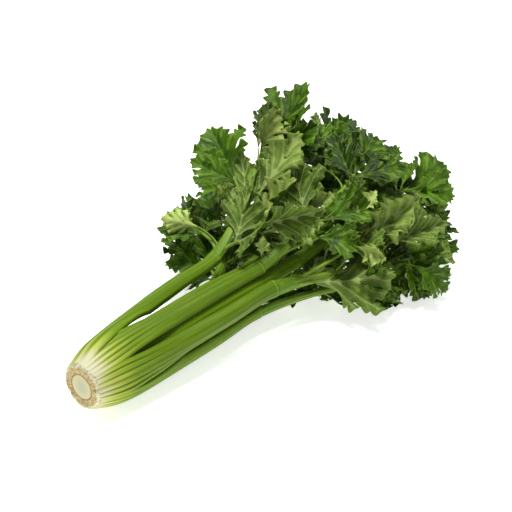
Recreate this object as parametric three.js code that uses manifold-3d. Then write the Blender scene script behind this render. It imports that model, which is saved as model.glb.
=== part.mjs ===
// A head of celery with its leaves on, as pulled and trimmed, lying on its side.
// Twelve leaf stalks grow in three rings from a short crown, whose root end is cut flat.
// Each stalk is a ribbed, grooved petiole up to its first joint, and carries a frond above it:
// a thin midrib with paired leaflets, each a toothed, three-lobed blade.
// Millimetres, +Z up. X runs along the head, from the cut end to the leaf tips, and Y to its left.
import * as THREE from "three";
import { mergeVertices } from "three/addons/utils/BufferGeometryUtils.js";
import Module from "manifold-3d";

const wasm = await Module();
wasm.setup();

// Driving dimensions of the head
const AXIS_HEIGHT = 36.4; // the middle of the head above the table
const CUT_RADIUS = 25; // the trimmed root end
const BELLY_RADIUS = 37; // the widest part of the stalk bases
const BELLY_AT = 52;
const BOW = 1.2; // how far a stalk bows outward between its base and its first joint
const GAP = 0.4; // left between pieces that touch
const SLIVER = 0.08; // triangles thinner than this are merged away
const BLADE = 0.8; // thickness of a leaf blade
const LEAF_REST = 0.45; // lowest that the middle of a blade lies above the table

// Colours and finish
const PALE = new THREE.MeshStandardMaterial({ color: 0xe6e3c0, roughness: 0.55, metalness: 0 });
const STALK = new THREE.MeshStandardMaterial({ color: 0x7fa32e, roughness: 0.4, metalness: 0 });
const LEAF = new THREE.MeshStandardMaterial({ color: 0x3c6b1e, roughness: 0.5, metalness: 0 });

const rad = THREE.MathUtils.degToRad;
const mix = THREE.MathUtils.lerp;
const ease = (x, from, to) => THREE.MathUtils.smoothstep(x, from, to);
const vec = (x, y, z) => new THREE.Vector3(x, y, z);

// Draws between 0 and 1 that come out the same on every run.
function draws(seed) {
  let state = (seed * 48271) % 2147483647;
  return () => {
    state = (state * 16807) % 2147483647;
    return state / 2147483647;
  };
}

// Solids from points and triangles
function geometryOf(points, triangles) {
  const geometry = new THREE.BufferGeometry().setFromPoints(points);
  geometry.setIndex(triangles);
  return geometry;
}

function solidOf(geometry) {
  const bare = geometry.clone();
  bare.deleteAttribute("normal");
  bare.deleteAttribute("uv");
  const merged = mergeVertices(bare, 1e-4);
  const solid = new wasm.Manifold(
    new wasm.Mesh({
      numProp: 3,
      vertProperties: merged.attributes.position.array,
      triVerts: new Uint32Array(merged.index.array),
    }),
  );
  if (solid.volume() > 0) return solid;
  const flipped = geometry.clone();
  flipped.setIndex(Array.from(geometry.index.array).reverse());
  return solidOf(flipped);
}

function meshOf(name, solid, material) {
  const made = solid.getMesh();
  const points = [];
  for (let i = 0; i < made.numVert; i++)
    points.push(vec(...made.vertProperties.slice(i * made.numProp, i * made.numProp + 3)));
  const mesh = new THREE.Mesh(geometryOf(points, Array.from(made.triVerts)), material);
  mesh.name = name;
  return mesh;
}

// The largest closed body of a solid: drops loose scraps and fills sealed hollows.
function wholeOf(solid) {
  return solid.decompose().reduce((best, body) => (body.volume() > best.volume() ? body : best));
}

// The same solid without the slivers that joining leaves.
function tidied(solid) {
  return solid.asOriginal().simplify(SLIVER);
}

// A closed solid through rings of points, all with the same number of points.
function loft(rings) {
  const sides = rings[0].length;
  const points = rings.flat();
  const triangles = [];
  for (let r = 0; r + 1 < rings.length; r++)
    for (let i = 0; i < sides; i++) {
      const a = r * sides + i;
      const b = r * sides + ((i + 1) % sides);
      triangles.push(a, b, a + sides, b, b + sides, a + sides);
    }
  for (const [ring, first, turn] of [
    [rings[0], 0, true],
    [rings.at(-1), (rings.length - 1) * sides, false],
  ]) {
    const middle = points.length;
    points.push(ring.reduce((sum, p) => sum.add(p), vec(0, 0, 0)).divideScalar(sides));
    for (let i = 0; i < sides; i++) {
      const a = first + i;
      const b = first + ((i + 1) % sides);
      triangles.push(middle, turn ? b : a, turn ? a : b);
    }
  }
  return solidOf(geometryOf(points, triangles));
}

// A round stem along a curve, tapering from one radius to another.
function stem(curve, from, to, startRadius, endRadius, steps, sides) {
  const rings = [];
  for (let k = 0; k <= steps; k++) {
    const t = mix(from, to, k / steps);
    const centre = curve.getPoint(t);
    const along = curve.getTangent(t);
    const side = vec(0, 0, 1).cross(along).normalize();
    const up = along.clone().cross(side);
    const radius = mix(startRadius, endRadius, k / steps);
    rings.push(
      Array.from({ length: sides }, (_, i) => {
        const turn = (i / sides) * Math.PI * 2;
        return centre
          .clone()
          .addScaledVector(side, radius * Math.cos(turn))
          .addScaledVector(up, radius * Math.sin(turn));
      }),
    );
  }
  return loft(rings);
}

// The crown: the short stem that every stalk grows from, cut flat at the root end
const CROWN_PROFILE = [
  [0, CUT_RADIUS - 1.6],
  [1.2, CUT_RADIUS - 0.2],
  [3.4, CUT_RADIUS - 0.4],
  [9, CUT_RADIUS - 5.5],
  [20, 14],
  [34, 7],
];
const CROWN_SIDES = 30;

function crownSolid(grow) {
  return loft(
    CROWN_PROFILE.map(([x, radius], row) =>
      Array.from({ length: CROWN_SIDES }, (_, i) => {
        const turn = (i / CROWN_SIDES) * Math.PI * 2;
        const knob = row < 3 ? 0.35 * (i % 2) : 0;
        const r = radius + grow + knob;
        const end = row === CROWN_PROFILE.length - 1 ? grow : 0;
        return vec(x + end, r * Math.cos(turn), AXIS_HEIGHT + r * Math.sin(turn));
      }),
    ),
  );
}

// The stalks: where each stands round the head, and the joints of its leaf.
// joints: the first joint of the midrib, the second, and its end below the last leaflet.
const RINGS = {
  outer: { start: 3, width: 17.2, thick: 7.4, lip: 2, neck: 9.6, ribs: 13, stations: 8 },
  inner: { start: 15, width: 15.2, thick: 5.6, lip: 1.5, neck: 8.4, ribs: 9, stations: 6 },
  heart: { start: 24, width: 8.4, thick: 5, lip: 1, neck: 5.5, ribs: 5, stations: 5 },
};
const STALKS = [
  {
    name: "outer_1",
    ring: "outer",
    turn: 46,
    twist: 32,
    swell: 3,
    joints: [[246, 39, 78], [316, 58, 106], [384, 84, 140]],
  },
  { name: "outer_2", ring: "outer", turn: 106, joints: [[256, -24, 84], [322, -34, 106], [430, -20, 122]] },
  { name: "outer_3", ring: "outer", turn: 166, joints: [[257, -51, 58], [351, -79, 50], [420, -100, 42]] },
  { name: "outer_4", ring: "outer", turn: 225, joints: [[247, -33, 19], [342, -62, 20], [394, -93, 16]] },
  { name: "outer_5", ring: "outer", turn: 283, joints: [[264, 8, 0], [350, 10, 8], [425, -10, 12]] },
  { name: "outer_6", ring: "outer", turn: 344, joints: [[256, 52, 27], [328, 96, 46], [388, 130, 62]] },
  { name: "inner_1", ring: "inner", turn: 138, joints: [[311, -35, 68], [412, -54, 92], [493, -56, 96]] },
  { name: "inner_2", ring: "inner", turn: 48, joints: [[292, 24, 56], [385, 50, 84], [470, 66, 104]] },
  { name: "inner_3", ring: "inner", turn: 228, joints: [[290, -18, 26], [385, -46, 38], [470, -76, 46]] },
  { name: "inner_4", ring: "inner", turn: 318, joints: [[290, 20, 22], [385, 44, 40], [470, 60, 52]] },
  { name: "heart_1", ring: "heart", turn: 100, joints: [[270, 2, 48], [360, -2, 66], [470, -16, 78]] },
  { name: "heart_2", ring: "heart", turn: 280, joints: [[244, 1, 33], [320, -6, 40], [400, -20, 48]] },
];

const outward = (turn) => vec(0, Math.cos(rad(turn)), Math.sin(rad(turn)));

// How far the outside of a ring of stalks stands from the axis, at x along the head.
function ringRadius(ring, x) {
  const swell = Math.sin((Math.min(x, BELLY_AT) / BELLY_AT) * (Math.PI / 2));
  const outside = mix(CUT_RADIUS, BELLY_RADIUS, swell);
  return { outer: outside, inner: outside - 9.4, heart: outside - 17.8 }[ring];
}

// The outside line of a stalk: round the crown's belly, straight to its first joint with a
// slight bow, and on along the midrib.
function lineOf(stalk) {
  const { start } = RINGS[stalk.ring];
  const base = [start, 26, BELLY_AT]
    .filter((x, i) => i === 0 || x > start + 8)
    .map((x) =>
      outward(stalk.turn)
        .multiplyScalar(ringRadius(stalk.ring, x) + (stalk.swell ?? 0) * ease(x, 0, BELLY_AT))
        .add(vec(x, 0, AXIS_HEIGHT)),
    );
  const joints = stalk.joints.map((p) => vec(...p));
  const straight = [0.3, 0.65].map((share) =>
    base.at(-1).clone().lerp(joints[0], share).addScaledVector(outward(stalk.turn), BOW),
  );
  return new THREE.CatmullRomCurve3([...base, ...straight, ...joints], false, "centripetal");
}

// Where on its line a stalk reaches x.
function placeAt(curve, x) {
  let low = 0;
  let high = 1;
  for (let k = 0; k < 40; k++) {
    const middle = (low + high) / 2;
    if (curve.getPoint(middle).x < x) low = middle;
    else high = middle;
  }
  return low;
}

// One cross-section: a ribbed arc outside and a groove inside. It wraps the head at the base
// and closes to a narrow channel at the joint.
function stalkSection(stalk, curve, t) {
  const ring = RINGS[stalk.ring];
  const centre = curve.getPoint(t);
  const along = curve.getTangent(t);
  const x = centre.x;
  const out = outward(stalk.turn + (stalk.twist ?? 0) * ease(x, 40, 150));
  out.addScaledVector(along, -out.dot(along)).normalize();
  const side = along.clone().cross(out);
  const joint = stalk.joints[0][0];
  const free = ease(x, 30, 135);
  const narrow = ease(x, 90, joint);
  const base = ringRadius(stalk.ring, x);
  const foot = ring.width * (base / ringRadius(stalk.ring, BELLY_AT));
  const half = mix(mix(foot, ring.neck * 1.24, free), ring.neck, narrow);
  const bow = Math.max(mix(base, ring.neck * 1.12, free), half * 1.04);
  const arc = Math.asin(half / bow);
  const thick = mix(ring.thick, ring.neck * 1.05, free) * ease(x, ring.start - 14, ring.start + 16);
  const lip = mix(ring.lip, ring.neck * 0.5, free);
  const points = [];
  for (let i = 0; i < ring.ribs; i++) {
    const turn = mix(-arc, arc, i / (ring.ribs - 1));
    const rib = i % 2 ? 0 : -0.75 * mix(0.6, 1, free);
    points.push([bow * Math.sin(turn), bow * (Math.cos(turn) - 1) + rib]);
  }
  const edge = bow * (Math.cos(arc) - 1) - lip;
  for (const u of [0.86, 0.45, 0, -0.45, -0.86])
    points.push([half * u, mix(-thick, Math.min(edge, -lip - 1), u * u)]);
  return points.map(([b, n]) => centre.clone().addScaledVector(side, b).addScaledVector(out, n));
}

function stalkSolid(stalk, curve) {
  const ring = RINGS[stalk.ring];
  const joint = stalk.joints[0][0];
  const rings = [];
  for (let k = 0; k < ring.stations; k++) {
    const share = (k / (ring.stations - 1)) ** 1.35;
    rings.push(stalkSection(stalk, curve, placeAt(curve, mix(ring.start, joint, share))));
  }
  return loft(rings);
}

// The end of a stalk with room round it, which its frond is cut clear of.
function stalkEndRoom(stalk, curve) {
  const joint = stalk.joints[0][0];
  const rings = [joint - 14, joint].map((x) => stalkSection(stalk, curve, placeAt(curve, x)));
  const along = curve.getTangent(placeAt(curve, joint));
  const middle = rings[1].reduce((sum, p) => sum.add(p), vec(0, 0, 0)).divideScalar(rings[1].length);
  rings[1].forEach((p, i) => {
    p.sub(middle).multiplyScalar(1.3).add(middle);
    p.addScaledVector(along, GAP);
    rings[0][i].sub(middle).multiplyScalar(1.3).add(middle);
  });
  return loft(rings);
}

// The leaflets: half the outline of one blade, from its foot to its tip, as shares of its
// length and of its half width. Lobe tips and the notches between them take turns.
const HALF_OUTLINE = [
  [0.03, 0.06],
  [0.27, 0.35],
  [0.45, 0.84],
  [0.52, 0.63],
  [0.72, 1],
  [0.61, 0.28],
  [0.82, 0.53],
  [0.82, 0.3],
  [0.94, 0.27],
];
const RIB_STEPS = [0.16, 0.4, 0.62, 0.82];

// One blade: size, pose and waves. pose gives the foot, the way it points and its upper side.
function bladeShape(pose, size, seed) {
  const draw = draws(seed);
  const wide = size * mix(0.33, 0.46, draw());
  const sag = mix(0.25, 0.95, draw()) * pose.sky;
  const fold = mix(0.12, 0.42, draw()) * pose.sky;
  const twist = mix(-0.35, 0.35, draw());
  const ruffle = mix(0.03, 0.075, draw()) * size;
  const phase = draw() * Math.PI * 2;
  const waves = mix(2.2, 3.6, draw());
  const outline = [1, -1].map((hand) =>
    HALF_OUTLINE.map(([u, v], i) => {
      const stretch = i < 2 ? 1 : mix(0.86, 1.12, draw());
      return [u + (i < 2 ? 0 : mix(-0.012, 0.012, draw())), v * stretch * hand];
    }),
  );
  return { ...pose, size, wide, sag, fold, twist, ruffle, phase, waves, outline };
}

// A point of the middle of a blade, and the way its upper side faces there.
function bladePoint(shape, u, v) {
  const bend = shape.sag * u;
  const radius = shape.size / shape.sag;
  const side = shape.along.clone().cross(shape.up).normalize();
  const along = shape.along;
  const foot = shape.foot
    .clone()
    .addScaledVector(along, radius * Math.sin(bend))
    .addScaledVector(shape.up, -radius * (1 - Math.cos(bend)));
  const face = shape.up.clone().multiplyScalar(Math.cos(bend)).addScaledVector(along, Math.sin(bend));
  const across = side.clone().applyAxisAngle(along, shape.twist * u);
  const normal = face.clone().applyAxisAngle(along, shape.twist * u);
  const reach = Math.abs(v);
  const wave = Math.sin(shape.phase + shape.waves * Math.PI * (u + 0.35 * v)) * reach * reach;
  const lift = reach * shape.wide * shape.fold + shape.ruffle * wave;
  const point = foot.addScaledVector(across, v * shape.wide).addScaledVector(normal, lift);
  const over = (point.z - LEAF_REST) / 2;
  if (over < 20) point.z = LEAF_REST + 2 * Math.log1p(Math.exp(over));
  normal.lerp(vec(0, 0, 1), 1 / (1 + Math.exp(over + 1))).normalize();
  return [point, normal];
}

// Triangles between the rib and one side's edge, both running from foot to tip.
function zipTriangles(rib, edge, places) {
  const along = ([u, v]) => u - 0.2 * Math.abs(v);
  const triangles = [];
  let i = 0;
  let j = 0;
  while (i + 1 < rib.length || j + 1 < edge.length) {
    const ribNext = i + 1 < rib.length ? places[rib[i + 1]][0] : Infinity;
    const edgeNext = j + 1 < edge.length ? along(places[edge[j + 1]]) : Infinity;
    if (ribNext < edgeNext) {
      triangles.push([rib[i], rib[i + 1], edge[j]]);
      i += 1;
    } else {
      triangles.push([rib[i], edge[j + 1], edge[j]]);
      j += 1;
    }
  }
  return triangles.filter(([a, b, c]) => a !== b && b !== c && a !== c);
}

function bladeSolid(shape, thickness) {
  const places = [[0, 0], ...RIB_STEPS.map((u) => [u, 0]), [1, 0]];
  const tip = places.length - 1;
  const rib = places.map((_, i) => i);
  const edges = shape.outline.map((half) => {
    const first = places.length;
    places.push(...half);
    return [0, ...half.map((_, i) => first + i), tip];
  });
  const faces = [
    ...zipTriangles(rib, edges[0], places),
    ...zipTriangles(rib, edges[1], places).map(([a, b, c]) => [a, c, b]),
  ];
  const laid = places.map(([u, v]) => bladePoint(shape, u, v));
  const count = places.length;
  const points = [thickness / 2, -thickness / 2].flatMap((h) =>
    laid.map(([point, normal]) => point.clone().addScaledVector(normal, h)),
  );
  const triangles = faces.flatMap(([a, b, c]) => [a, b, c, a + count, c + count, b + count]);
  const rim = [...edges[0], ...edges[1].slice(1, -1).reverse()];
  rim.forEach((a, i) => {
    const b = rim[(i + 1) % rim.length];
    triangles.push(a, b, a + count, b, b + count, a + count);
  });
  return solidOf(geometryOf(points, triangles));
}

// The fronds: for each stalk, its leaflets in order up the midrib.
// Each has its joint, the way its own stem points (degrees to the left of the head's line, and
// up), the length of that stem and of its blades in millimetres, how it rolls about its own
// line, which side the sky sees (1 the upper side, -1 the underside), and its blades.
const FRONDS = {
  outer_1: [
    [0, 80, 8, 54, 64, 0, 1, 3],
    [0, -42, 24, 36, 82, 0, -1, 3],
    [1, 64, 36, 46, 72, 0, 1, 2],
    [1, -8, 30, 24, 78, 0, -1, 2],
    [2, -10, 44, 16, 92, 0, 1, 1],
    [2, 14, 50, 10, 62, 0, -1, 1],
    [2, -42, 28, 10, 76, 0, 1, 1],
  ],
  outer_2: [
    [0, 70, 24, 10, 36, 0, 1, 1],
    [0, -22, 8, 84, 62, 0, 1, 3],
    [1, 42, 30, 18, 78, 0, -1, 1],
    [1, -30, 10, 26, 68, 0, 1, 1],
    [2, 10, 30, 14, 84, 0, 1, 3],
  ],
  outer_3: [
    [0, -15, 14, 108, 66, 0, -1, 3],
    [0, -30, -6, 44, 92, 0, -1, 2],
    [1, 16, 8, 26, 64, 0, 1, 1],
    [1, -52, -12, 22, 62, 0, 1, 1],
    [2, -26, -8, 10, 76, 0, 1, 3],
  ],
  outer_4: [
    [0, -30, 14, 5, 30, 0, 1, 1],
    [0, -18, 0, 74, 44, 0, 1, 1],
    [1, 30, 4, 18, 62, 0, 1, 1],
    [1, -50, -2, 16, 62, 0, 1, 1],
    [2, -10, 0, 10, 72, 0, 1, 2],
  ],
  outer_5: [
    [0, -40, 6, 24, 44, 0, 1, 1],
    [1, 48, 2, 16, 66, 0, 1, 1],
    [1, -46, 2, 16, 66, 0, 1, 1],
    [2, -6, 2, 10, 74, 0, 1, 2],
  ],
  outer_6: [
    [0, 96, -10, 12, 40, 0, 1, 1],
    [0, 92, 30, 34, 62, 0, 1, 3],
    [1, 66, 28, 20, 66, 0, 1, 2],
    [2, 60, 20, 10, 74, 0, 1, 3],
  ],
  inner_1: [
    [0, 26, 24, 26, 64, 0, 1, 1],
    [1, 30, 26, 20, 74, 0, 1, 3],
    [1, -48, -8, 22, 68, 0, -1, 3],
    [2, -8, 6, 8, 80, 0, 1, 3],
  ],
  inner_2: [
    [0, 64, -20, 12, 40, 0, 1, 1],
    [0, 42, 14, 22, 60, 0, 1, 1],
    [1, 48, 24, 18, 72, 0, 1, 3],
    [1, -20, 24, 18, 66, 0, 1, 1],
    [2, 4, 20, 10, 86, 0, 1, 3],
  ],
  inner_3: [
    [1, -40, 6, 22, 72, 0, 1, 3],
    [1, 34, 8, 18, 60, 0, 1, 1],
    [2, -14, 12, 10, 80, 0, 1, 3],
  ],
  inner_4: [
    [1, 52, 8, 18, 66, 0, 1, 2],
    [1, -36, 8, 18, 60, 0, 1, 1],
    [2, 8, 10, 10, 80, 0, 1, 3],
  ],
  heart_1: [
    [1, 32, 14, 12, 58, 0, 1, 1],
    [2, -4, 14, 10, 78, 0, 1, 3],
  ],
  heart_2: [
    [1, 40, 6, 10, 48, 0, 1, 1],
    [2, -4, 6, 6, 58, 0, 1, 1],
  ],
};
const MIDRIB = { outer: [6, 3.3, 1.8], inner: [5, 3, 1.7], heart: [3.2, 2.2, 1.4] };
const SIDE_BLADES = [0, 52, -52]; // how the three blades of a leaflet fan out, in degrees
const SIDE_SIZE = 0.84;

const LIGHT = vec(-0.5, -0.4, 0.77).normalize(); // where the faces of the blades turn

// A blade that would cross another stalk's leaf is bent clear: the first of these turns that
// fits is taken. Each is a lift, a swing and a roll, in degrees.
const BENDS = [[0, 0, 0]];
for (const step of [7, 14, 21, 28, 36, 45])
  for (const [lift, swing, roll] of [
    [1, 0, 0],
    [-1, 0, 0],
    [0.6, 0.8, 0],
    [0.6, -0.8, 0],
    [-0.6, 0.8, 0],
    [-0.6, -0.8, 0],
    [0, 0, 1.4],
    [0, 0, -1.4],
  ])
    BENDS.push([lift * step, swing * step, roll * step]);

// The way a stem or blade points, from degrees to the left and up, and the side of it that
// turns to the light, rolled about its own line.
function heading(left, lift, roll) {
  const level = vec(Math.cos(rad(left)), Math.sin(rad(left)), 0);
  const along = level.multiplyScalar(Math.cos(rad(lift))).add(vec(0, 0, Math.sin(rad(lift))));
  const up = LIGHT.clone().addScaledVector(along, -LIGHT.dot(along)).normalize();
  return { along, up: up.applyAxisAngle(along, rad(roll)) };
}

// The two angles of a direction, in degrees to the left and up.
function anglesOf(way) {
  return [Math.atan2(way.y, way.x), Math.asin(way.z)].map(THREE.MathUtils.radToDeg);
}

// The curve of a leaflet's own stem: it leaves close to the midrib and swings out.
function leafletStem(from, midrib, way, length) {
  const knee = from
    .clone()
    .addScaledVector(midrib, length * 0.28)
    .addScaledVector(way, length * 0.22);
  const end = from
    .clone()
    .addScaledVector(midrib, length * 0.2)
    .addScaledVector(way, length * 0.8);
  for (const p of [knee, end]) p.z = Math.max(p.z, 3.2);
  return new THREE.QuadraticBezierCurve3(from, knee, end);
}

function clearOf(solid, others) {
  const box = solid.boundingBox();
  return others.every((other) => {
    const b = other.boundingBox();
    const apart = [0, 1, 2].some((k) => box.min[k] > b.max[k] || box.max[k] < b.min[k]);
    return apart || solid.intersect(other).isEmpty();
  });
}

// The midrib of a frond, and the places on it of its three joints.
function midribOf(stalk, curve) {
  const radii = MIDRIB[stalk.ring];
  const first = placeAt(curve, stalk.joints[0][0] + GAP);
  const second = (placeAt(curve, stalk.joints[1][0]) - first) / (1 - first);
  const inward = outward(stalk.turn + (stalk.twist ?? 0)).multiplyScalar(-radii[0] * 1.1);
  const line = new THREE.CatmullRomCurve3(
    Array.from({ length: 9 }, (_, i) =>
      curve.getPoint(mix(first, 1, i / 8)).addScaledVector(inward, mix(1, 0.3, i / 8)),
    ),
  );
  const lower = stem(line, 0, second, radii[0], radii[1], 3, 8);
  const upper = stem(line, second - 0.03, 1, radii[1] + 0.05, radii[2], 3, 6);
  const solid = lower.add(upper).subtract(stalkEndRoom(stalk, curve));
  return { line, knots: [0.035, second, 0.985], solid };
}

// One frond: midrib, leaflet stems and blades fused into one body.
function frondSolid(stalk, midrib, others, index) {
  const radii = MIDRIB[stalk.ring];
  let body = midrib.solid;
  const own = [];
  FRONDS[stalk.name].forEach(([joint, left, lift, length, size, roll, sky, blades], k) => {
    const from = midrib.line.getPoint(midrib.knots[joint]);
    const along = midrib.line.getTangent(midrib.knots[joint]);
    const thick = mix(1.5, 2.3, (size - 34) / 56);
    const twigs = BENDS.map(([more, turn]) => () =>
      leafletStem(from, along, heading(left + turn, lift + more, 0).along, length),
    );
    const twigSolid = (twig, extra) =>
      stem(twig, 0, 1, Math.min(thick * 1.25, radii[joint]) + extra, thick * 0.75 + extra, 3, 5);
    const bent = twigs.findIndex((twig) => clearOf(twigSolid(twig(), GAP), others));
    if (bent < 0) return;
    const twig = twigs[bent]();
    body = body.add(twigSolid(twig, 0));
    for (let b = 0; b < blades; b++) {
      const seed = 1000 * (index + 1) + 10 * k + b + 7;
      const draw = draws(seed + 500000);
      const at = b ? Math.max(0.3, 1 - 8 / length) : 1;
      const out = twig.getTangent(at);
      const foot = twig.getPoint(at).addScaledVector(out, -1.5);
      const [outLeft, outLift] = anglesOf(out);
      const spread = SIDE_BLADES[b] * mix(0.9, 1.2, draw());
      const raise = mix(-10, 10, draw());
      const tilt = mix(-26, 26, draw());
      const shapes = BENDS.map(([more, turn, tip]) => () =>
        bladeShape(
          { foot, sky, ...heading(outLeft + spread + turn, outLift + raise + more, roll + tilt + tip) },
          b ? size * SIDE_SIZE : size,
          seed,
        ),
      );
      const fits = (solids) =>
        shapes.findIndex((shape) => clearOf(bladeSolid(shape(), BLADE + 2 * GAP), solids));
      let pick = fits([...others, ...own]);
      if (pick < 0) pick = fits(others);
      if (pick < 0) continue;
      const shape = shapes[pick]();
      body = body.add(bladeSolid(shape, BLADE));
      own.push(bladeSolid({ ...shape, foot: foot.clone().addScaledVector(shape.along, 7) }, BLADE));
    }
  });
  return tidied(wholeOf(body));
}

// The whole head
const head = new THREE.Group();
const table = solidOf(new THREE.BoxGeometry(900, 600, 40).translate(300, 0, -20));
const crown = crownSolid(0);
const crownRoom = crownSolid(2 * GAP);
head.add(meshOf("crown", crown, PALE));
const parts = STALKS.map((stalk) => {
  const curve = lineOf(stalk);
  const solid = tidied(wholeOf(stalkSolid(stalk, curve).subtract(crownRoom).subtract(table)));
  head.add(meshOf(`stalk_${stalk.name}`, solid, STALK));
  return { stalk, solid, midrib: midribOf(stalk, curve) };
});
for (const [index, part] of parts.entries()) {
  const rest = parts.filter((other) => other !== part);
  const others = [crown, ...parts.map((p) => p.solid), ...rest.map((p) => p.frond ?? p.midrib.solid)];
  part.frond = frondSolid(part.stalk, part.midrib, others, index);
  head.add(meshOf(`frond_${part.stalk.name}`, part.frond, LEAF));
}

// The origin goes to the middle of the head's footprint, on the table.
const box = new THREE.Box3().setFromObject(head);
const middle = box.getCenter(vec(0, 0, 0));
head.position.set(-middle.x, -middle.y, -box.min.z);

export default head;
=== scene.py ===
import math

import bpy
import numpy as np
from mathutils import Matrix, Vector, geometry, kdtree, noise


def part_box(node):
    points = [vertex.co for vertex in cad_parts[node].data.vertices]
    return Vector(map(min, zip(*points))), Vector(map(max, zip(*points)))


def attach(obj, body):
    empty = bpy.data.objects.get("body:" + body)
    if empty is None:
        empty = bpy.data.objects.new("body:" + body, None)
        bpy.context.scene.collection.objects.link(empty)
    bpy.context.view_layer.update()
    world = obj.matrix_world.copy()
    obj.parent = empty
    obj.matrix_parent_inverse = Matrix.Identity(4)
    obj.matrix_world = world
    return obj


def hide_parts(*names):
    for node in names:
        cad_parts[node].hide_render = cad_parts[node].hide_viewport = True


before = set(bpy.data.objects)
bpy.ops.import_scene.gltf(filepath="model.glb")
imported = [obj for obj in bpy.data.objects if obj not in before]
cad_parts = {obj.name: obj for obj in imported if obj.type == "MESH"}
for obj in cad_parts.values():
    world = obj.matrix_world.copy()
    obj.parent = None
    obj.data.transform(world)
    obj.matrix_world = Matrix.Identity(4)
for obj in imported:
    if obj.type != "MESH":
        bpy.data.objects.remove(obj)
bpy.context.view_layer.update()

# Crown: the short solid stem that every stalk grows from, cut across with a knife at the root
# end. The cut shows pale pith, a thin brown ring of vessels, and round it the tan, uneven scars
# of stalks that were trimmed away.
AXIS_HEIGHT = 36.4  # of the middle of the cut above the table
CUT_RADIUS = 25.0
CUT_RINGS = 50
PITH_RADIUS = 14.4
CROWN_TURNS = 216
SCARS = 23
# Behind the cut the stem narrows inside the stalks: distance from the cut, and radius there.
CROWN_SIDE = [[1.4, 24.7], [2.6, 24.6], [3.8, 24.2], [6, 22.2], [9, 19.5], [20, 14], [34, 7]]

# Points are worked out in millimetres from the spot on the table under the middle of the cut, and
# moved into the frame last.
crown_low, crown_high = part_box("crown")
CUT_MIDDLE = np.array([crown_low.x * 1000, crown_high.y * 1000 - (CUT_RADIUS - 0.2), 0.0])


def mix(a, b, share):
    return a + (b - a) * share


def ease(x, low, high):
    """0 up to low, 1 from high on, and a smooth rise between them."""
    t = np.clip((np.asarray(x, float) - low) / (high - low), 0, 1)
    return t * t * (3 - 2 * t)


def hill(x, width):
    """1 where x is 0, falling off smoothly on both sides."""
    return np.exp(-((x / width) ** 2))


def draws(seed):
    """Gives numbers between 0 and 1 that come out the same on every run."""
    state = (seed * 48271) % 2147483647

    def draw():
        nonlocal state
        state = (state * 16807) % 2147483647
        return state / 2147483647

    return draw


def tint(red, green, blue):
    """A colour as a photo shows it, from 0 to 255, for a material."""
    levels = [c / 255 for c in (red, green, blue)]
    return [c / 12.92 if c < 0.04045 else ((c + 0.055) / 1.055) ** 2.4 for c in levels] + [1.0]


class Shade:
    """A value in a material, held as the socket of a node. Sums and products add Math nodes."""

    def __init__(self, tree, socket=None):
        self.tree = tree
        self.socket = socket

    def node(self, kind, settings, values, out=0):
        """Adds a node: its settings first, then the values or links of its sockets."""
        node = self.tree.nodes.new("ShaderNode" + kind)
        for key, value in settings.items():
            if key == "stops":
                ramp = node.color_ramp.elements
                ramp[0].position, ramp[0].color = value[0]
                ramp[1].position, ramp[1].color = value[-1]
                for place, colour in value[1:-1]:
                    ramp.new(place).color = colour
            else:
                setattr(node, key, value)
        for key, value in values.items():
            if isinstance(value, Shade):
                self.tree.links.new(value.socket, node.inputs[key])
            else:
                node.inputs[key].default_value = value
        return Shade(self.tree, node.outputs[out])

    def math(self, operation, *values):
        return self.node("Math", {"operation": operation}, dict(enumerate(values)))

    def __add__(self, other):
        return self.math("ADD", self, other)

    __radd__ = __add__

    def __sub__(self, other):
        return self.math("SUBTRACT", self, other)

    def __rsub__(self, other):
        return self.math("SUBTRACT", other, self)

    def __mul__(self, other):
        return self.math("MULTIPLY", self, other)

    __rmul__ = __mul__

    def step(self, low, high):
        """0 where this value is low, 1 where it is high, and a smooth rise between them."""
        bounds = {"Value": self, "From Min": low, "From Max": high}
        return self.node("MapRange", {"interpolation_type": "SMOOTHSTEP"}, bounds)

    def between(self, colour, other):
        """This value as the share from one colour to another."""
        return self.node("Mix", {"data_type": "RGBA"}, {0: self, 6: colour, 7: other}, out=2)

    def point_value(self, name):
        return self.node("Attribute", {"attribute_name": name}, {}, out="Fac")

    def cloudy(self, place, scale, detail):
        """Cloudy variation, between 0 and 1, from place to place."""
        return self.node("TexNoise", {}, {"Vector": place, "Scale": scale, "Detail": detail})

    def grain(self, x, y, z, detail=2.0):
        """Cloudy variation over three values."""
        return self.cloudy(self.node("CombineXYZ", {}, {0: x, 1: y, 2: z}), 1.0, detail)


def coated(ground, *coats):
    """A colour with others over it in turn, each with its share and its levels from 0 to 255."""
    for share, levels in coats:
        ground = share.between(ground, tint(*levels))
    return ground


def new_finish(name, constants, paint):
    """A material: paint gets a Shade, and gives colour, roughness, bumps and their depth."""
    material = bpy.data.materials.new(name)
    material.use_nodes = True
    tree = material.node_tree
    surface = next(n for n in tree.nodes if n.type == "BSDF_PRINCIPLED")
    for key, value in constants.items():
        surface.inputs[key].default_value = value
    colour, roughness, height, depth = paint(Shade(tree))
    bump = Shade(tree).node("Bump", {}, {"Height": height, "Distance": depth, "Strength": 1.0})
    for key, value in (("Base Color", colour), ("Roughness", roughness), ("Normal", bump)):
        tree.links.new(value.socket, surface.inputs[key])
    return material


def in_scene(name, data):
    thing = bpy.data.objects.new(name, data)
    bpy.context.scene.collection.objects.link(thing)
    return thing


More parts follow.
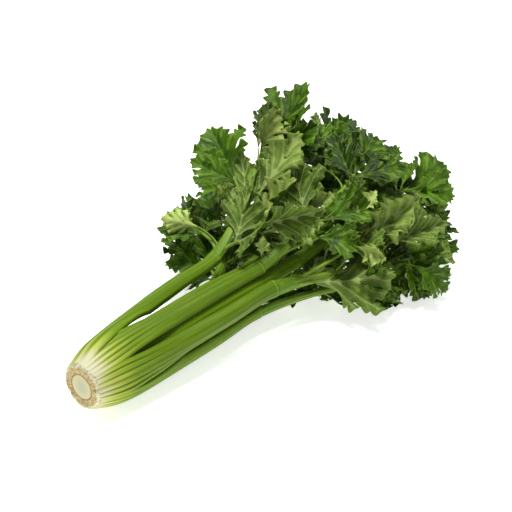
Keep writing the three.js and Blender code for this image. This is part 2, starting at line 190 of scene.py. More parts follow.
def piece_of(name, points, faces, values, material, slot, node):
    """A smooth mesh in place of a solid, from points in millimetres and values at the points."""
    mesh = bpy.data.meshes.new(name)
    placed = (np.asarray(points) + CUT_MIDDLE) / 1000
    placed[:, 2] = np.maximum(placed[:, 2], 0.00002)
    mesh.from_pydata(placed.tolist(), [], [[int(i) for i in face] for face in faces])
    mesh.shade_smooth()
    for key, value in values.items():
        data = np.ascontiguousarray(value, dtype=np.float32)
        mesh.attributes.new(key, "FLOAT", "POINT").data.foreach_set("value", data)
    mesh.materials.append(material)
    piece = in_scene(name, mesh)
    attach(piece, "root")
    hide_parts(node)


def skin_between(rows, around):
    """Four-sided faces between rows of points, each row going once round."""
    row, turn = np.meshgrid(np.arange(rows - 1), np.arange(around), indexing="ij")
    a = row * around + turn
    b = row * around + (turn + 1) % around
    return np.stack([a, b, b + around, a + around], axis=-1).reshape(-1, 4).tolist()


def crown_piece():
    turn = np.arange(CROWN_TURNS) / CROWN_TURNS * 2 * math.pi
    spoke = np.stack([np.cos(turn), np.sin(turn)], axis=-1)
    rough = [
        [noise.noise(Vector((c * 4.1, s * 4.1, r * 0.5))) for c, s in spoke]
        for r in range(CUT_RINGS)
    ]
    rough = np.array(rough)
    scallop = np.abs(np.sin(turn * SCARS / 2 + 2.2 * np.sin(turn * 3))) ** 0.7
    # The rim is uneven, where stalks were trimmed off.
    uneven = 0.9 * (scallop - 0.6) + 1.1 * rough[-1]
    rows, radius = [], []
    for k in range(1, CUT_RINGS - 1):
        r = CUT_RADIUS * k / CUT_RINGS
        ring = 0.45 * math.exp(-(((r - PITH_RADIUS) / 0.8) ** 2))
        band = float(ease(r, PITH_RADIUS + 0.6, PITH_RADIUS + 3))
        lumps = band * (0.9 * rough[k] - 0.7 * scallop * float(ease(r, 14, 20)) + 0.5)
        x = 0.5 + ring + lumps + 0.9 * float(ease(r, 22.2, 24.2)) + 0.04 * rough[k]
        reach = r + band * 0.5 * scallop * (r - PITH_RADIUS) / 12 + uneven * (r / CUT_RADIUS) ** 6
        rows.append(np.column_stack([x, reach[:, None] * spoke]))
        radius.append(np.full(CROWN_TURNS, r))
    for x, r in CROWN_SIDE:
        reach = r + (0.46 * scallop + uneven) * float(1 - ease(x, 2, 6))
        rows.append(np.column_stack([np.full(CROWN_TURNS, x), reach[:, None] * spoke]))
        radius.append(np.full(CROWN_TURNS, CUT_RADIUS + x))
    points = np.vstack([*rows, [[0.45, 0, 0], [CROWN_SIDE[-1][0], 0, 0]]])
    points[:, 2] += AXIS_HEIGHT
    around = {
        key: np.append(np.tile(spoke[:, i], len(rows)), [0, 0])
        for i, key in enumerate(("round_y", "round_z"))
    }
    faces = skin_between(len(rows), CROWN_TURNS)
    front = len(points) - 2
    last = front - CROWN_TURNS
    for i in range(CROWN_TURNS):
        j = (i + 1) % CROWN_TURNS
        faces.append([front, j, i])
        faces.append([front + 1, last + i, last + j])
    radius = np.concatenate([*radius, [0, CUT_RADIUS + CROWN_SIDE[-1][0]]])
    return points, faces, {"from_middle": radius, **around}


def crown_paint(shade):
    place = shade.node("TexCoord", {}, {}, out="Object")
    specks = shade.cloudy(place, 420.0, 4.0)
    blotch = shade.cloudy(place, 150.0, 3.0)
    fine = shade.cloudy(place, 1400.0, 3.0)
    middle, y, z = (shade.point_value(name) for name in ("from_middle", "round_y", "round_z"))
    spokes = shade.grain(y * 11, z * 11, middle * 0.1, 4.0)
    threads = shade.grain(y * 30, z * 30, middle * 0.25, 2.0)
    radius = middle + (blotch - 0.5) * 1.2 + (spokes - 0.5) * 2.2
    pith = coated(
        tint(188, 188, 154),
        (radius.step(4, 12), (206, 200, 152)),
        (specks.step(0.42, 0.62) * 0.4, (194, 194, 154)),
    )
    scars = coated(
        tint(164, 140, 80),
        (spokes.step(0.34, 0.6), (206, 192, 138)),
        (blotch.step(0.5, 0.7) * 0.5, (192, 172, 112)),
        (threads.step(0.56, 0.66) * radius.step(15, 21) * 0.6, (152, 112, 60)),
    )
    near_ring = radius.step(PITH_RADIUS - 1.3, PITH_RADIUS - 0.2)
    ring = near_ring * (1 - radius.step(PITH_RADIUS + 0.2, PITH_RADIUS + 1.8))
    cut = coated(
        radius.step(PITH_RADIUS - 0.6, PITH_RADIUS + 0.4).between(pith, scars),
        (ring * (0.45 + threads * 0.9), (148, 108, 54)),
        (radius.step(20.8, 23.6), (220, 214, 178)),
    )
    return cut, fine * 0.2 + 0.45, fine * 0.4 + specks, 0.0004


def flesh(share, reach, depth, gloss):
    """How light goes into plant flesh (how much, how far by colour, how deep), and its gloss."""
    return {
        "Subsurface Weight": share,
        "Subsurface Radius": reach,
        "Subsurface Scale": depth,
        "Specular IOR Level": gloss,
    }


crown_flesh = new_finish("crown_flesh", flesh(0.2, (0.9, 0.8, 0.4), 0.002, 0.3), crown_paint)
piece_of("crown_cut", *crown_piece(), crown_flesh, "crown_flesh", "crown")


# Stalks: twelve ribbed, fleshy leaf stalks in three rings, each grooved inside. They sheathe the
# crown, where they are blanched white, and turn green as they rise to the first joint.
BELLY_RADIUS = 37.0  # the outer ring bulges to this radius
BELLY_AT = 52.0
BOW = 1.2
WING_RISE = 1.3  # of a winged foot over the stalk that it wraps
DARKEST_AT = 290  # the height at which a stalk has its deepest green
# Each ring: where its stalks leave the crown, half their width, their thickness in the middle
# and at the lips, half their width at the joint, their ribs, and how far inside the ring lies.
RINGS = {
    ring: dict(zip(("start", "width", "thick", "lip", "neck", "ribs", "inset"), sizes))
    for ring, sizes in (
        ("outer", (3, 17.2, 7.4, 2, 9.6, 13, 0)),
        ("inner", (15, 15.2, 5.6, 1.5, 8.4, 9, 9.4)),
        ("heart", (24, 8.4, 5, 1, 5.5, 5, 17.8)),
    )
}
# Each stalk: where it stands round the head (turn, in degrees), how far it turns on its way up
# (twist), how its foot bulges (swell) or wraps over the next stalk (wing), how much sooner it
# greens (early), how light its green is (tone, drawn where none is given), and its joints, the
# first at its own end. The given tones are painted light: a painted highlight on outer_1, and
# lighter green on outer_4 and inner_1, which lie in shade between other stalks.
STALKS = [
    {"name": "outer_1", "turn": 46, "joints": [[246, 39, 78], [316, 58, 106], [384, 84, 140]],
     "twist": 32, "swell": 3, "wing": 13, "early": 30, "tone": 1.2},
    {"name": "outer_2", "turn": 106, "joints": [[256, -24, 84], [322, -34, 106], [430, -20, 122]],
     "early": 3},
    {"name": "outer_3", "turn": 166, "joints": [[257, -51, 58], [351, -79, 50], [420, -100, 42]],
     "early": 12},
    {"name": "outer_4", "turn": 225, "joints": [[247, -33, 19], [342, -62, 20], [394, -93, 16]],
     "early": 12, "tone": 1.5},
    {"name": "outer_5", "turn": 283, "joints": [[264, 8, 0], [350, 10, 8], [425, -10, 12]]},
    {"name": "outer_6", "turn": 344, "joints": [[256, 52, 27], [328, 96, 46], [388, 130, 62]]},
    {"name": "inner_1", "turn": 138, "joints": [[311, -35, 68], [412, -54, 92], [493, -56, 96]],
     "tone": 2.2},
    {"name": "inner_2", "turn": 48, "joints": [[292, 24, 56], [385, 50, 84], [470, 66, 104]]},
    {"name": "inner_3", "turn": 228, "joints": [[290, -18, 26], [385, -46, 38], [470, -76, 46]]},
    {"name": "inner_4", "turn": 318, "joints": [[290, 20, 22], [385, 44, 40], [470, 60, 52]]},
    {"name": "heart_1", "turn": 100, "joints": [[270, 2, 48], [360, -2, 66], [470, -16, 78]]},
    {"name": "heart_2", "turn": 280, "joints": [[244, 1, 33], [320, -6, 40], [400, -20, 48]]},
]
STALK_ROWS = 100
OUTSIDE = 109  # points across the ribbed outside of a stalk
INSIDE = 23  # points across its groove


def unit(vectors):
    return vectors / np.linalg.norm(vectors, axis=-1, keepdims=True)


def outward(turn):
    angle = np.radians(turn)
    return np.stack([np.zeros_like(angle), np.cos(angle), np.sin(angle)], axis=-1)


class Path:
    """A line that something grows along, at shares of its length from 0 to 1."""

    def way(self, share):
        share = np.atleast_1d(share)
        return unit(self.at(np.minimum(share + 1e-4, 1)) - self.at(np.maximum(share - 1e-4, 0)))


class Line(Path):
    """A smooth line through points, the one that a stalk and its midrib grow along."""

    def __init__(self, points):
        points = np.array(points, float)
        self.spans = len(points) - 1
        self.points = np.vstack([2 * points[0] - points[1], points, 2 * points[-1] - points[-2]])

    def at(self, share):
        place = np.clip(np.atleast_1d(share), 0, 1) * self.spans
        span = np.minimum(place.astype(int), self.spans - 1)
        t = (place - span)[:, None]
        p0, p1, p2, p3 = (self.points[span + k] for k in range(4))
        d0, d1, d2 = (
            np.linalg.norm(b - a, axis=1, keepdims=True) ** 0.5
            for a, b in ((p0, p1), (p1, p2), (p2, p3))
        )
        leave = ((p1 - p0) / d0 - (p2 - p0) / (d0 + d1) + (p2 - p1) / d1) * d1
        arrive = ((p2 - p1) / d1 - (p3 - p1) / (d1 + d2) + (p3 - p2) / d2) * d1
        square = -3 * p1 + 3 * p2 - 2 * leave - arrive
        cube = 2 * p1 - 2 * p2 + leave + arrive
        return p1 + leave * t + square * t**2 + cube * t**3

    def place_of(self, x):
        """Where on the line each of the given distances along the head is reached."""
        x = np.atleast_1d(np.asarray(x, float))
        low, high = np.zeros(len(x)), np.ones(len(x))
        for _ in range(40):
            middle = (low + high) / 2
            short = self.at(middle)[:, 0] < x
            low, high = np.where(short, middle, low), np.where(short, high, middle)
        return low


def ring_radius(ring, x):
    bend = np.sin(np.minimum(x, BELLY_AT) / BELLY_AT * math.pi / 2)
    return mix(CUT_RADIUS, BELLY_RADIUS, bend) - ring["inset"]


def line_of(stalk, ring):
    swell = stalk.get("swell", 0)
    base = [
        outward(stalk["turn"]) * (ring_radius(ring, x) + swell * float(ease(x, 0, BELLY_AT)))
        + [x, 0, AXIS_HEIGHT]
        for i, x in enumerate([ring["start"], 26, BELLY_AT])
        if i == 0 or x > ring["start"] + 8
    ]
    joint = np.array(stalk["joints"][0], float)
    bow = outward(stalk["turn"]) * BOW
    straight = [mix(base[-1], joint, share) + bow for share in (0.3, 0.65)]
    return Line([*base, *straight, *stalk["joints"]])


def closed_skin(rows, around):
    """Faces between rows of points, and a face over each end."""
    last = (rows - 1) * around
    ends = [list(range(around))[::-1], [last + i for i in range(around)]]
    return skin_between(rows, around) + ends


def stalk_piece(stalk, ring, line):
    """The stalk's skin from the crown to its first joint: its outside, its groove, its ends."""
    joint, start = stalk["joints"][0][0], ring["start"]
    x = start + (joint - start) * (np.arange(STALK_ROWS) / (STALK_ROWS - 1)) ** 1.2
    place = line.place_of(x)
    centre, along = line.at(place), line.way(place)
    out = outward(stalk["turn"] + stalk.get("twist", 0) * ease(x, 40, 150))
    out = unit(out - along * (out * along).sum(axis=1, keepdims=True))
    side = np.cross(along, out)
    x = x[:, None]
    free, narrow = ease(x, 30, 135), ease(x, 90, joint)
    base = ring_radius(ring, x)
    foot = ring["width"] * base / ring_radius(ring, BELLY_AT) * mix(1.13, 1, ease(x, 12, 70))
    half = mix(mix(foot, ring["neck"] * 1.24, free), ring["neck"], narrow)
    bow = np.maximum(mix(base, ring["neck"] * 1.12, free), half * 1.04)
    arc = np.arcsin(half / bow)
    thick = mix(ring["thick"], ring["neck"] * 1.05, free) * ease(x, start - 14, start + 16)
    lip = mix(ring["lip"], ring["neck"] * 0.5, free)
    # The outside: rounded ribs with narrow grooves, and fine threads on them.
    s = np.linspace(-1, 1, OUTSIDE)
    draw = draws(len(stalk["name"]) + stalk["turn"])
    wander = 0.35 * np.sin(x / 60 + 6 * draw()) * (1 - s * s)
    rib = (s + 1) / 2 * (ring["ribs"] - 1)
    groove = (0.5 + 0.5 * np.cos(math.pi * (rib + wander))) ** 2.2
    strong = 0.62 + 0.38 * np.sin(rib * 2.3 + 6 * draw())
    threads = 0.09 * np.sin(math.pi * rib * 3 + 4 * draw()) * ease(x, 20, 80)
    depth = (0.36 + 1.15 * hill(x - 42, 36)) * strong
    # A winged foot wraps over the edge of the next stalk.
    wing = stalk.get("wing", 0) * (1 - ease(x, 40, 108)) / bow
    raised = WING_RISE * (wing > 0) * ease(x, -15, 20) * (1 - ease(x, 65, 108))
    turn = arc * s + wing * np.maximum(s, 0) ** 1.5
    across = bow * np.sin(turn)
    deep = bow * (np.cos(turn) - 1) - depth * groove + threads + 0.2
    deep = deep + raised * ease(s, 0, 0.8)
    # The inside: a shallow groove from lip to lip.
    u = np.linspace(0.97, -0.97, INSIDE)
    edge = np.minimum(bow * (np.cos(arc) - 1) - lip, -lip - 1)
    hollow = -thick * 0.84
    deep_in = hollow + (edge - hollow) * u**2
    far = bow * (np.cos(arc + wing) - np.cos(arc)) + raised
    past = bow * (np.sin(arc + wing) - np.sin(arc))
    across = np.hstack([across, half * u + past * np.maximum(u, 0) ** 1.5])
    deep = np.hstack([deep, deep_in + far * np.maximum(u, 0) ** 2])
    # It swells a little at the joint.
    knot = 1 + 0.05 * hill(x - joint + 4, 4) - 0.03 * ease(x, joint - 3, joint)
    middle = deep.mean(axis=1, keepdims=True)
    across, deep = across * knot, middle + (deep - middle) * knot
    points = centre[:, None] + side[:, None] * across[..., None] + out[:, None] * deep[..., None]
    around = OUTSIDE + INSIDE

    def dome(row, way, steps):
        middle = row.mean(axis=0)
        return [mix(middle, row, share) + way * push for share, push in steps]

    foot_end = dome(points[0], -along[0], ((0.5, 2.2), (0.88, 1.4)))
    top_end = dome(points[-1], along[-1], ((0.9, 0.8), (0.5, 1.6)))
    rows = np.concatenate([foot_end, points, top_end])
    faces = closed_skin(len(rows), around)
    rows = rows.reshape(-1, 3)
    x_rows = np.concatenate([[x[0]] * 2, x, [x[-1]] * 2])

    def spread(grid):
        full = np.broadcast_to(grid, (STALK_ROWS, around))
        return np.vstack([full[:1], full[:1], full, full[-1:], full[-1:]]).ravel()

    pale = 1.9 * bow * wing * np.append(ease(s, -0.1, 0.7), np.zeros(INSIDE))
    inner_ribs = np.broadcast_to(u * 4 + 30, (STALK_ROWS, INSIDE))
    values = {
        "height": np.repeat(x_rows + stalk.get("early", 0), around) - spread(pale),
        "rib": spread(np.hstack([rib + wander, inner_ribs])),
        "ridge": spread(np.hstack([1 - groove, np.full((STALK_ROWS, INSIDE), 0.5)])),
        "from_joint": np.repeat(joint - x_rows, around),
        "own": np.full(len(rows), stalk.get("tone", draw())),
    }
    return rows, faces, values


def stalk_paint(shade):
    height, rib, own = (shade.point_value(name) for name in ("height", "rib", "own"))
    ridge, from_joint = shade.point_value("ridge"), shade.point_value("from_joint")
    streak = shade.grain(rib * 1.4, height * 0.012, own * 50, 3.0)
    hair = shade.grain(rib * 6, height * 0.03, own * 70 + 9, 2.0)
    cloud = shade.grain(rib * 0.3, height * 0.02, own * 90 + 4, 2.0)
    reach = height + (streak - 0.5) * 26 + (cloud - 0.5) * 30 - ridge * 4
    blanched_to_green = [
        (0.0, tint(210, 206, 178)),
        (0.045, tint(204, 202, 156)),
        (0.08, tint(180, 188, 90)),
        (0.13, tint(146, 165, 42)),
        (0.2, tint(106, 132, 8)),
        (0.34, tint(85, 111, 0)),
        (0.65, tint(71, 99, 0)),
        (1.0, tint(65, 94, 0)),
    ]
    green = shade.node("ValToRGB", {"stops": blanched_to_green}, {0: reach * (1 / DARKEST_AT)})
    off_joint = shade.math("ABSOLUTE", from_joint - 3.2)
    # Painted sheen: broad, pale, slightly glossier stripes along a stalk, in place of the
    # reflection of the light on its facets.
    broad = shade.grain(rib * 0.42, height * 0.004, own * 30 + 2, 1.0).step(0.48, 0.66)
    skin = coated(
        green,
        (hair.step(0.45, 0.75) * 0.3 * height.step(10, 60), (146, 168, 54)),
        # Painted shade: darker green in the grooves between the ribs, strongest near the foot.
        ((1 - ridge) * height.step(2, 34) * (0.62 - height.step(60, 200) * 0.34), (58, 86, 0)),
        (streak.step(0.55, 0.8) * 0.4 * height.step(20, 80), (64, 96, 0)),
        ((1 - off_joint.step(0.2, 1.6)) * 0.35, (150, 172, 80)),
        # Painted sheen: the broad pale stripes.
        (broad * 0.42 * height.step(40, 120), (124, 148, 50)),
        # Lighter green by each stalk's tone: random on most stalks, painted light on outer_1 (a
        # painted highlight) and on outer_4 and inner_1 (lightened where they lie in shade).
        (own * 0.3 * height.step(30, 90), (104, 138, 8)),
    )
    return skin, hair * 0.16 + 0.36 - broad * 0.06, hair * 0.7 + streak * 0.3, 0.0003


stalk_skin = new_finish("stalk_skin", flesh(0.15, (0.6, 1.0, 0.1), 0.003, 0.15), stalk_paint)
for stalk in STALKS:
    stalk["ring"] = RINGS[stalk["name"].split("_")[0]]
    stalk["line"] = line_of(stalk, stalk["ring"])
    made = stalk_piece(stalk, stalk["ring"], stalk["line"])
    piece_of("skin_" + stalk["name"], *made, stalk_skin, "stalk_skin", "stalk_" + stalk["name"])


# Fronds: above its first joint a stalk goes on as a thin midrib with paired leaflets, each on a
# stem of its own. Row by row: the joint, the way the stem points (degrees to the left, and up),
# its length, the length of its blades, the side the sky sees (1: upper), and how many blades.
FRONDS = {
    "outer_1": [
        [0, 80, 8, 54, 64, 1, 3], [0, -42, 24, 36, 82, -1, 3], [1, 64, 36, 46, 72, 1, 2],
        [1, -8, 30, 24, 78, -1, 2], [2, -10, 44, 16, 92, 1, 1], [2, 14, 50, 10, 62, -1, 1],
        [2, -42, 28, 10, 76, 1, 1],
    ],
    "outer_2": [
        [0, 70, 24, 10, 36, 1, 1], [0, -22, 8, 84, 62, 1, 3], [1, 42, 30, 18, 78, -1, 1],
        [1, -30, 10, 26, 68, 1, 1], [2, 10, 30, 14, 84, 1, 3],
    ],
    "outer_3": [
        [0, -15, 14, 108, 66, -1, 3], [0, -30, -6, 44, 92, -1, 2], [1, 16, 8, 26, 64, 1, 1],
        [1, -52, -12, 22, 62, 1, 1], [2, -26, -8, 10, 76, 1, 3],
    ],
    "outer_4": [
        [0, -30, 14, 5, 30, 1, 1], [0, -18, 0, 74, 44, 1, 1], [1, 30, 4, 18, 62, 1, 1],
        [1, -50, -2, 16, 62, 1, 1], [2, -10, 0, 10, 72, 1, 2],
    ],
    "outer_5": [
        [0, -40, 6, 24, 44, 1, 1], [1, 48, 2, 16, 66, 1, 1], [1, -46, 2, 16, 66, 1, 1],
        [2, -6, 2, 10, 74, 1, 2],
    ],
    "outer_6": [
        [0, 96, -10, 12, 40, 1, 1], [0, 92, 30, 34, 62, 1, 3], [1, 66, 28, 20, 66, 1, 2],
        [2, 60, 20, 10, 74, 1, 3],
    ],
    "inner_1": [
        [0, 26, 24, 26, 64, 1, 1], [1, 30, 26, 20, 74, 1, 3], [1, -48, -8, 22, 68, -1, 3],
        [2, -8, 6, 8, 80, 1, 3],
    ],
    "inner_2": [
        [0, 64, -20, 12, 40, 1, 1], [0, 42, 14, 22, 60, 1, 1], [1, 48, 24, 18, 72, 1, 3],
        [1, -20, 24, 18, 66, 1, 1], [2, 4, 20, 10, 86, 1, 3],
    ],
    "inner_3": [
        [1, -40, 6, 22, 72, 1, 3], [1, 34, 8, 18, 60, 1, 1], [2, -14, 12, 10, 80, 1, 3],
    ],
    "inner_4": [
        [1, 52, 8, 18, 66, 1, 2], [1, -36, 8, 18, 60, 1, 1], [2, 8, 10, 10, 80, 1, 3],
    ],
    "heart_1": [[1, 32, 14, 12, 58, 1, 1], [2, -4, 14, 10, 78, 1, 3]],
    "heart_2": [[1, 40, 6, 10, 48, 1, 1], [2, -4, 6, 6, 58, 1, 1]],
}
MIDRIB = {"outer": [6, 3.3, 1.8], "inner": [5, 3, 1.7], "heart": [3.2, 2.2, 1.4]}
THIN_STEM = 1.3, 0.9  # radii of the stem of a small leaflet at its two ends
POSE_SEED, FILL_SEED, FILLER_SEED = 500000, 7000, 90000  # where three kinds of draws start
SIDE_BLADES = [0, 52, -52]  # how far the blades of a leaflet are turned from its stem
SIDE_SIZE = 0.84  # of a side blade, next to the end one
JOINT_GAP = 0.4  # between a stalk and its frond
KNOTS = 0.035, 0.985  # where on the midrib the first and the last leaflets stand
BLADE = 0.8  # thickness of the solid blades
LEAF_REST = 0.45  # height of a blade that lies on the table
# Smaller leaflets of the fronds, which the solids leave out: how far up the midrib, the way the
# stem points, its length, the blade's length, its roll, the side the sky sees and its seed. Then
# the way the blade points, how light it is (-1: drawn) and how narrow (0 to 2), or, where the row
# ends before, a blade in line with its stem.
LEAFLETS = {
    "outer_1": [
        [0.08, 102, 25, 48, 43, -29, -1, 3776, 120, 12, 1.0, 0],
        [0.26, -49, 60, 39, 51, -57, -1, 23091, -1, 41, 0.3, 2],
        [0.28, -48, 4, 34, 78, -16, -1, 28081, -46, 41, 0.9, 2],
        [0.53, -111, 31, 50, 87, -6, -1, 23697, -4, 32, 0.62, 2],
        [0.9, 41, 21, 33, 41, 20, -1, 15426], [0.94, -42, 35, 25, 62, 18, 1, 24735],
        [0.95, -25, 46, 19, 52, 4, 1, 11265],
        [0.95, 26, 69, 9, 66, 37, -1, 25069, 9, 67, 1.0, 2],
    ],
    "outer_2": [
        [0.03, 84, 46, 9, 26, 10, -1, 4242, 40, 50, 1.0, 2],
        [0.07, 75, 51, 40, 74, 35, -1, 21606, -21, -3, 0.6, 2],
        [0.11, 101, 45, 49, 82, 34, -1, 1770, -48, 18, 0.45, 2],
        [0.52, 48, 0, 51, 48, 19, -1, 3090, -76, 30, 0.8, 2],
        [0.9, 72, 18, 29, 68, -3, 1, 19125],
    ],
    "outer_3": [
        [0.37, -40, 60, 51, 52, 53, -1, 16557, -76, 4, 1.0, 2],
        [0.62, -7, 28, 53, 72, 19, -1, 5804, -35, 12, 0.5, 2],
        [0.76, -51, -32, 37, 52, -45, -1, 1554],
        [0.81, -21, 12, 37, 40, 44, 1, 9890, -79, 25, 0.9, 2],
        [0.83, -54, 16, 36, 38, -52, 1, 17099, -127, -36, 0.9, 0],
        [0.85, -34, -21, 24, 53, 13, -1, 6521], [0.85, -22, -30, 36, 64, -38, 1, 8449],
        [0.9, -98, 15, 43, 51, 2, 1, 25084, -76, -19, 0.8, 0],
    ],
    "outer_4": [
        [0.39, -7, -23, 10, 67, -9, 1, 24356], [0.44, 66, -39, 32, 69, 15, 1, 2083],
    ],
    "outer_5": [
        [0.1, 85, 25, 35, 62, 1, 1, 3443], [0.53, -87, -25, 31, 50, -31, -1, 26636],
    ],
    "outer_6": [
        [0.1, 14, 11, 17, 54, 25, -1, 7029], [0.12, 105, -32, 17, 48, 28, -1, 20530],
        [0.14, 80, 9, 18, 67, 12, -1, 14849], [0.18, -36, 22, 35, 54, 27, 1, 28108],
        [0.4, 6, -8, 12, 59, 9, 1, 28138], [0.41, 104, 15, 27, 60, 1, -1, 22549],
        [0.61, 37, 16, 8, 68, 5, -1, 29279], [0.69, 89, 13, 12, 66, 32, 1, 949],
        [0.75, 70, -28, 10, 41, 17, -1, 6016], [0.81, 27, 18, 26, 62, 26, -1, 286],
    ],
    "inner_1": [
        [0.23, -74, -8, 50, 90, 16, -1, 13934, -26, 37, 0.7, 2],
        [0.33, -97, 49, 42, 34, -10, -1, 23629, 1, 17, 0.95, 2],
        [0.86, -1, -22, 13, 69, -4, 1, 19031], [0.91, 13, 41, 15, 41, -12, 1, 28155],
        [0.92, -54, -11, 12, 63, -41, 1, 646],
    ],
    "inner_2": [
        [0.11, 107, 4, 37, 50, 19, 1, 1620], [0.23, -56, -20, 39, 59, 7, -1, 23486],
        [0.84, -7, 10, 10, 53, -25, 1, 8390], [0.85, -24, 0, 39, 49, 39, -1, 21033],
        [0.91, 17, 58, 35, 42, 49, 1, 7408], [0.96, 25, 52, 30, 46, -42, -1, 13847],
    ],
    "inner_3": [
        [0.07, 11, 13, 24, 53, 12, 1, 23738], [0.42, -5, -23, 22, 48, 28, 1, 26566],
        [0.62, -4, -9, 32, 59, 0, -1, 24706], [0.63, -42, -5, 26, 57, 22, 1, 12052],
        [0.87, -76, -10, 37, 51, -7, -1, 11940],
    ],
    "inner_4": [
        [0.17, 104, -12, 33, 54, 6, -1, 16985], [0.4, 87, 6, 35, 63, -35, -1, 24616],
        [0.74, 74, -4, 33, 55, -29, -1, 3629],
    ],
    "heart_1": [
        [0.93, -10, 6, 20, 66, -38, -1, 25475], [0.95, -36, 28, 23, 60, 4, 1, 12944],
    ],
}
# How light the blades of the main leaflets are, by frond: the blade's number, and its tone.
TONES = {
    "outer_1": {3: 0.4, 9: 0.5},
    "outer_2": {4: 0.38, 6: 0.1, 7: 0.05, 8: 0.1},
    "outer_3": {3: 0.55},
    "inner_1": {2: 0.2},
    "inner_2": {5: 0.0, 6: 0.0},
}
# Fillers stand in pairs at these shares of a midrib, this near to the solid, but not in the bare
# places, where a gap shows between two fronds.
FILL_AT = [0.3, 0.48, 0.64, 0.78, 0.9]
FILL_NEAR = 24.0
BARE = {("outer_1", 0.78, 1), ("outer_1", 0.9, 1)}
LIGHT_SIDE = unit(np.array([-0.5, -0.4, 0.77]))  # blades turn their faces this way
# Half the outline of a blade, lobe by lobe: shares of its length and of half its width.
HALF_OUTLINE = [[0.03, 0.06], [0.27, 0.35], [0.45, 0.84], [0.52, 0.63], [0.72, 1]]
HALF_OUTLINE += [[0.61, 0.28], [0.82, 0.53], [0.82, 0.3], [0.94, 0.27]]
SLIM = [1, 0.8, 0.66]  # how much of its width a leaflet keeps, by the last value of its row
# A crowded blade was bent clear of the others, by one of these: up, to the left, and rolled.
BENDS = [[0, 0, 0]]
WAYS = [(1, 0, 0), (-1, 0, 0), (0.6, 0.8, 0), (0.6, -0.8, 0)]
WAYS += [(-0.6, 0.8, 0), (-0.6, -0.8, 0), (0, 0, 1.4), (0, 0, -1.4)]
for step in (7, 14, 21, 28, 36, 45):
    BENDS += [[lift * step, swing * step, roll * step] for lift, swing, roll in WAYS]


def turned(vectors, axis, angle):
    """Vectors turned about an axis, each by its own angle."""
    cosine, sine = np.cos(angle)[..., None], np.sin(angle)[..., None]
    on_axis = (vectors * axis).sum(axis=-1, keepdims=True) * axis
    return vectors * cosine + np.cross(axis, vectors) * sine + on_axis * (1 - cosine)


def heading(left, lift, roll):
    """The way a stem or blade points, and the side of it that turns to the light."""
    left, lift = math.radians(left), math.radians(lift)
    level = math.cos(lift)
    along = np.array([math.cos(left) * level, math.sin(left) * level, math.sin(lift)])
    up = unit(LIGHT_SIDE - along * (LIGHT_SIDE @ along))
    return along, turned(up, along, np.array(math.radians(roll)))


def degrees_of(way):
    """The way something points: how far to the left, and how far up."""
    return math.degrees(math.atan2(way[1], way[0])), math.degrees(math.asin(way[2]))


class Twig(Path):
    """The stem of a leaflet: it leaves close to the midrib and swings out."""

    def __init__(self, start, midrib, way, length):
        knee = start + midrib * length * 0.28 + way * length * 0.22
        end = start + midrib * length * 0.2 + way * length * 0.8
        knee[2], end[2] = max(knee[2], 3.2), max(end[2], 3.2)
        self.points = start, knee, end

    def at(self, share):
        t = np.atleast_1d(share)[:, None]
        a, b, c = self.points
        return a * (1 - t) ** 2 + b * 2 * t * (1 - t) + c * t**2


def rings_round(line, share, radius, sides):
    """Rings of points round a stem, one for each share of its line."""
    centre, along = line.at(share), line.way(share)
    side = unit(np.cross([0, 0, 1], along))
    up = np.cross(along, side)
    turn = np.arange(sides) / sides * 2 * math.pi
    swing = side[:, None] * np.cos(turn)[:, None] + up[:, None] * np.sin(turn)[:, None]
    return centre[:, None] + swing * np.reshape(radius, (len(centre), -1, 1))


class Leaf:
    """One blade as it grew: its pose, its size, and how it sags, folds, twists and waves."""

    tone = -1  # drawn, if nothing else is set

    def __init__(self, foot, pose, sky, size, seed, slim=0):
        draw = draws(seed)
        self.foot, (self.along, self.up), self.sky, self.size = foot, pose, sky, size
        self.wide = size * mix(0.33, 0.46, draw())
        self.sag = mix(0.25, 0.95, draw()) * sky
        self.fold = mix(0.12, 0.42, draw()) * sky
        self.twist = mix(-0.35, 0.35, draw())
        self.ruffle = mix(0.03, 0.075, draw()) * size
        self.phase = draw() * math.pi * 2
        self.waves = mix(2.2, 3.6, draw())
        self.outline = []
        for hand in (1, -1):
            half = []
            for i, (u, v) in enumerate(HALF_OUTLINE):
                stretch = mix(0.86, 1.12, draw()) if i > 1 else 1
                shove = mix(-0.012, 0.012, draw()) if i > 1 else 0
                half.append([u + shove, v * stretch * hand])
            self.outline.append(half)
        self.draw = draw
        if slim:
            self.wide *= SLIM[slim]
            self.fold = mix(0.5, 1.1, draw())

    def surface(self, u, v):
        """The middle of the blade at shares of its length and half width, and its upper side."""
        bend = self.sag * u
        radius = self.size / self.sag
        rise = -radius * (1 - np.cos(bend))
        foot = self.foot + np.outer(radius * np.sin(bend), self.along) + np.outer(rise, self.up)
        face = np.outer(np.cos(bend), self.up) + np.outer(np.sin(bend), self.along)
        side = unit(np.cross(self.along, self.up))
        across = turned(np.broadcast_to(side, foot.shape), self.along, self.twist * u)
        normal = turned(face, self.along, self.twist * u)
        reach = np.abs(v)
        wave = np.sin(self.phase + self.waves * math.pi * (u + 0.35 * v)) * reach**2
        lift = reach * self.wide * self.fold + self.ruffle * wave
        point = foot + across * (v * self.wide)[:, None] + normal * lift[:, None]
        # It settles on the table instead of going through it.
        over = (point[:, 2] - LEAF_REST) / 2
        settled = LEAF_REST + 2 * np.log1p(np.exp(np.minimum(over, 20)))
        point[:, 2] = np.where(over < 20, settled, point[:, 2])
        flat = (1 / (1 + np.exp(np.minimum(over + 1, 50))))[:, None]
        return point, unit(normal * (1 - flat) + np.array([0, 0, 1]) * flat)

    def corners(self):
        """Points that the solid blade has at the tips and notches of its lobes."""
        places = np.array([*self.outline[0][2:], *self.outline[1][2:], [1, 0]])
        point, normal = self.surface(places[:, 0], places[:, 1])
        return np.vstack([point + normal * BLADE / 2, point - normal * BLADE / 2])


